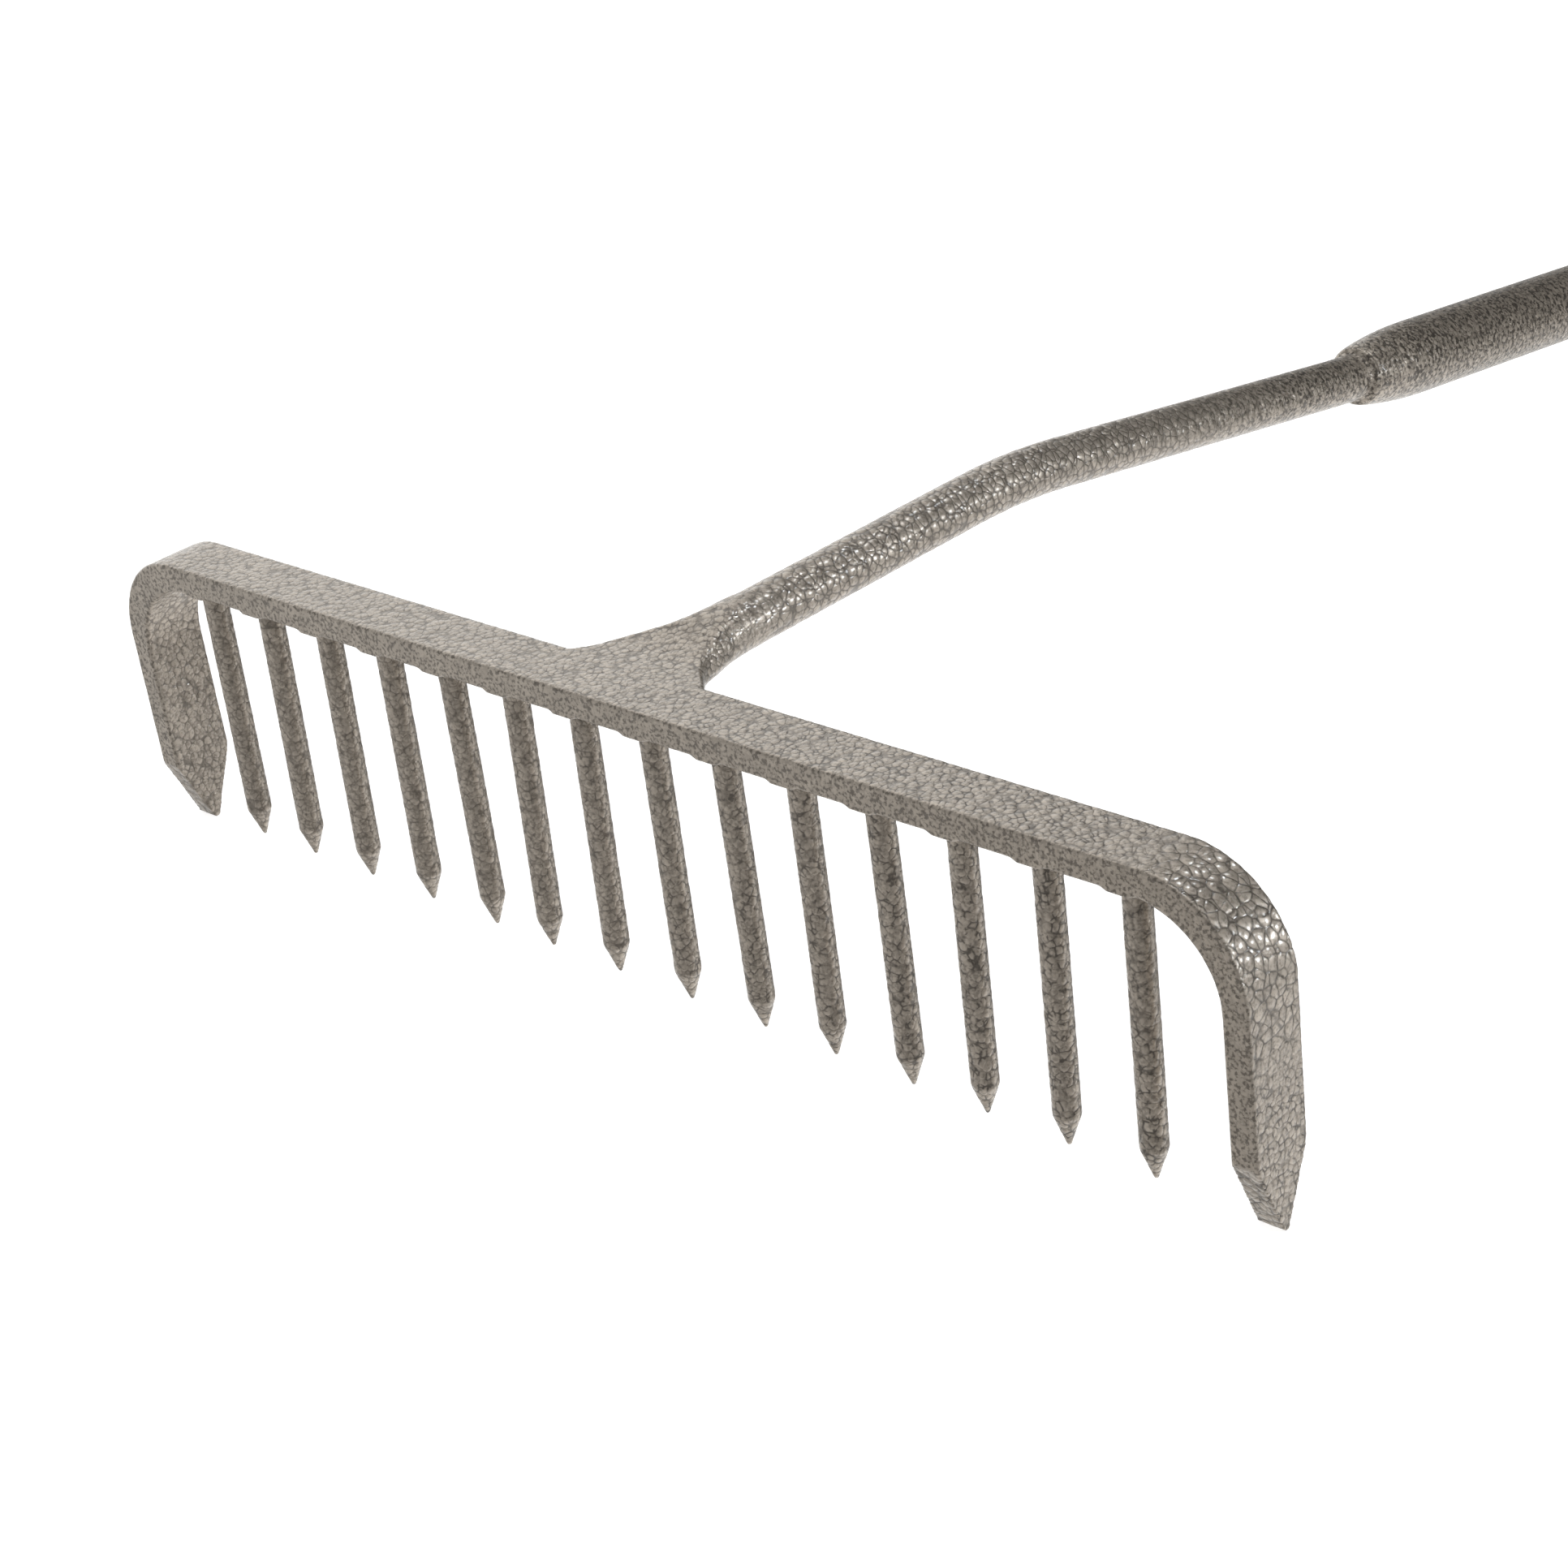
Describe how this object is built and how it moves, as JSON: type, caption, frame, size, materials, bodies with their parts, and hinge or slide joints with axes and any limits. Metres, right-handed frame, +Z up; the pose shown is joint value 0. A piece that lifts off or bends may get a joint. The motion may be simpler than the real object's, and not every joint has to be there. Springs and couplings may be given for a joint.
{
  "type": "garden rake",
  "caption": "Level-head garden rake: flat steel bar with bent-down pointed ends and round pointed tines, on a bent round neck, tube socket and long ash handle.",
  "frame": {"origin": "middle of the rake's outline on the ground that its two end tines and its handle's butt touch", "axes": "+X along the bar, +Y from the head towards the handle's butt, +Z up from the ground"},
  "size_m": [0.422, 1.809, 0.1125],
  "materials": {
    "hammered_paint": "hammered, glossy",
    "ash_wood": "varnished",
    "rivet_steel": "zinc plated"
  },
  "bodies": {
    "root": {"head_bar": "hammered_paint", "tine_01": "hammered_paint", "tine_02": "hammered_paint", "tine_03": "hammered_paint", "tine_04": "hammered_paint", "tine_05": "hammered_paint", "tine_06": "hammered_paint", "tine_07": "hammered_paint", "tine_08": "hammered_paint", "tine_09": "hammered_paint", "tine_10": "hammered_paint", "tine_11": "hammered_paint", "tine_12": "hammered_paint", "tine_13": "hammered_paint", "tine_14": "hammered_paint", "neck": "hammered_paint", "socket": "hammered_paint", "socket_weld_bead": "hammered_paint", "handle": "ash_wood", "handle_rivet": "rivet_steel"}
  },
  "joints": []
}
